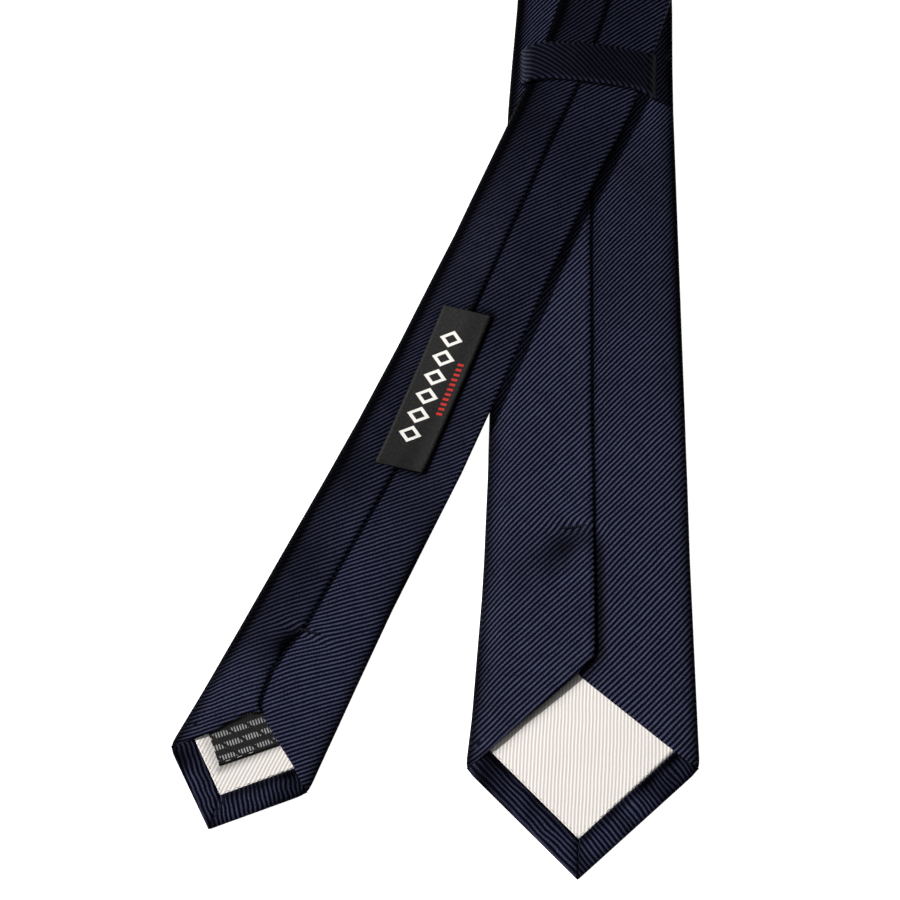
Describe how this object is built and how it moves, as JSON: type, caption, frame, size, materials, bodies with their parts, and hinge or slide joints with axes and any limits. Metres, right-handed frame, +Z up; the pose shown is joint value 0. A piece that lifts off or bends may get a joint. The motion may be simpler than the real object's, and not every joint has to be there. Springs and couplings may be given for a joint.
{
  "type": "necktie",
  "caption": "Slim navy ribbed silk necktie laid face down, its tail through the keeper loop, cream tipping in both pointed ends and a neck loop standing on edge.",
  "frame": {"origin": "middle of the bounding box, on the table that the tie lies on", "axes": "+Y along the wide blade from its tip towards the neck, +X to the right seen from above, +Z up"},
  "size_m": [0.2408, 0.6936, 0.0316],
  "materials": {
    "navy_silk": "ribbed repp silk, soft sheen",
    "wool_interlining": "matte brushed wool blend",
    "cream_tipping": "fine ribbed satin",
    "label_tape": "woven black satin tape",
    "navy_thread": "silk sewing thread",
    "cream_thread": "silk sewing thread",
    "black_thread": "polyester sewing thread"
  },
  "bodies": {
    "front_blade": {"front_blade_shell": "navy_silk", "front_interlining": "wool_interlining", "front_slip_stitch": "navy_thread", "front_neck_seam": "navy_thread", "neck_shell": "navy_silk", "neck_interlining": "wool_interlining", "keeper_loop": "navy_silk", "keeper_stitches": "navy_thread"},
    "blade_end": {"blade_end_shell": "navy_silk", "blade_end_interlining": "wool_interlining", "front_tipping": "cream_tipping", "front_tipping_stitches": "cream_thread", "front_bar_tack": "navy_thread"},
    "tail": {"tail_shell": "navy_silk", "tail_interlining": "wool_interlining", "tail_neck_seam": "navy_thread"},
    "tail_end": {"tail_end_shell": "navy_silk", "tail_end_interlining": "wool_interlining", "tail_tipping": "cream_tipping", "tail_tipping_stitches": "cream_thread", "tail_bar_tack": "navy_thread", "tail_slip_stitch": "navy_thread", "woven_label": "label_tape", "label_stitches": "black_thread", "care_label": "label_tape", "care_label_stitches": "cream_thread"}
  },
  "joints": [
    {"name": "blade_lift", "type": "hinge", "parent": "front_blade", "child": "blade_end", "pos_m": [0.00282, -0.21877, 0.003], "axis": [-1, 0, 0], "range_deg": [0, 75]},
    {"name": "tail_slide", "type": "slide", "parent": "front_blade", "child": "tail", "axis": [-0.3657, -0.9307, 0], "range_m": [-0.02, 0.03], "deforming": ["neck_shell", "neck_interlining"]},
    {"name": "tail_lift", "type": "hinge", "parent": "tail", "child": "tail_end", "pos_m": [-0.01764, -0.14425, 0.0063], "axis": [-0.8996, 0.4368, 0], "range_deg": [0, 60]}
  ]
}
